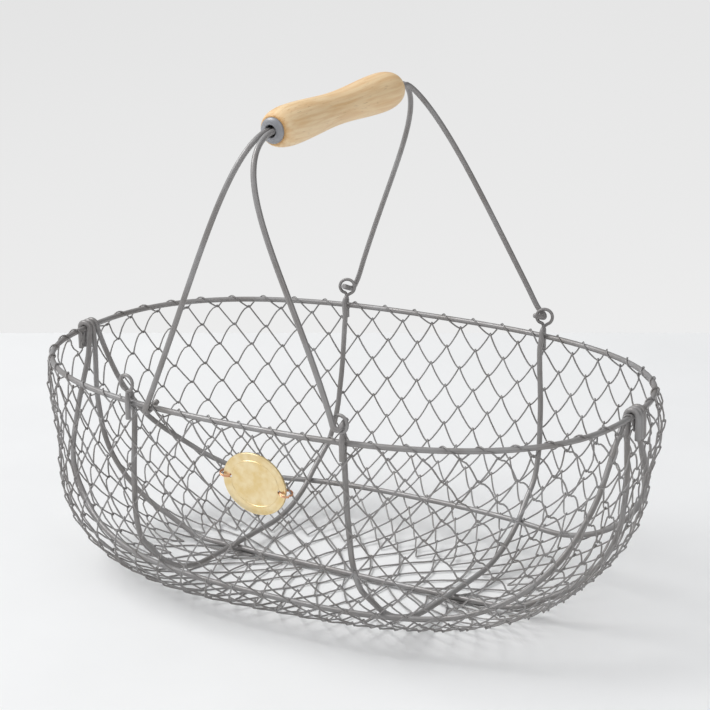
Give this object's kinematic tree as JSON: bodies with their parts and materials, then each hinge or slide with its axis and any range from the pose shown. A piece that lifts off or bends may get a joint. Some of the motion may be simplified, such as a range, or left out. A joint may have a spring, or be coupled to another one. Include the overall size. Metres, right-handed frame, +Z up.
{
  "type": "harvest basket",
  "caption": "Oval garden harvest basket of knotted wire net on a wire rim and ribs, with a turned wooden grip on two hooked wire bails.",
  "frame": {"origin": "middle of the floor, on the plane that the basket stands on", "axes": "+X along the basket's length, +Y across it towards the side without the tag, +Z up"},
  "size_m": [0.463, 0.3016, 0.3648],
  "materials": {
    "wire_paint": "satin warm grey paint",
    "beech": "clear satin, light beech",
    "cap_grey": "satin blue grey",
    "pale_brass": "polished pale brass",
    "copper": "polished copper tone"
  },
  "bodies": {
    "basket": {"rim_hoop": "wire_paint", "cross_rib_left": "wire_paint", "cross_rib_right": "wire_paint", "centre_rib": "wire_paint", "base_rib_near": "wire_paint", "base_rib_far": "wire_paint", "net_side_far_right_end": "wire_paint", "net_turn_far_right_end": "wire_paint", "net_side_near_right_end": "wire_paint", "net_turn_near_right_end": "wire_paint", "net_side_far_right": "wire_paint", "net_turn_far_right": "wire_paint", "net_side_near_right": "wire_paint", "net_turn_near_right": "wire_paint", "net_side_far_middle": "wire_paint", "net_turn_far_middle": "wire_paint", "net_side_near_middle": "wire_paint", "net_turn_near_middle": "wire_paint", "net_side_far_left": "wire_paint", "net_turn_far_left": "wire_paint", "net_side_near_left": "wire_paint", "net_turn_near_left": "wire_paint", "net_side_far_left_end": "wire_paint", "net_turn_far_left_end": "wire_paint", "net_side_near_left_end": "wire_paint", "net_turn_near_left_end": "wire_paint", "net_floor": "wire_paint", "bail_left": "wire_paint", "bail_right": "wire_paint"},
    "grip": {"wood_grip": "beech", "grip_cap_near": "cap_grey", "grip_cap_far": "cap_grey"},
    "tag": {"tag_plate": "pale_brass", "tag_ring_left": "copper", "tag_ring_right": "copper"}
  },
  "joints": [
    {"name": "grip_spin", "type": "hinge", "parent": "basket", "child": "grip", "pos_m": [0, 0, 0.3498], "axis": [0, 0.9998, 0.0192], "continuous": true},
    {"name": "tag_flap", "type": "hinge", "parent": "basket", "child": "tag", "pos_m": [0.01594, -0.14529, 0.1215], "axis": [0.9953, 0.0224, -0.0938], "range_deg": [-3.5, 3.5]}
  ]
}
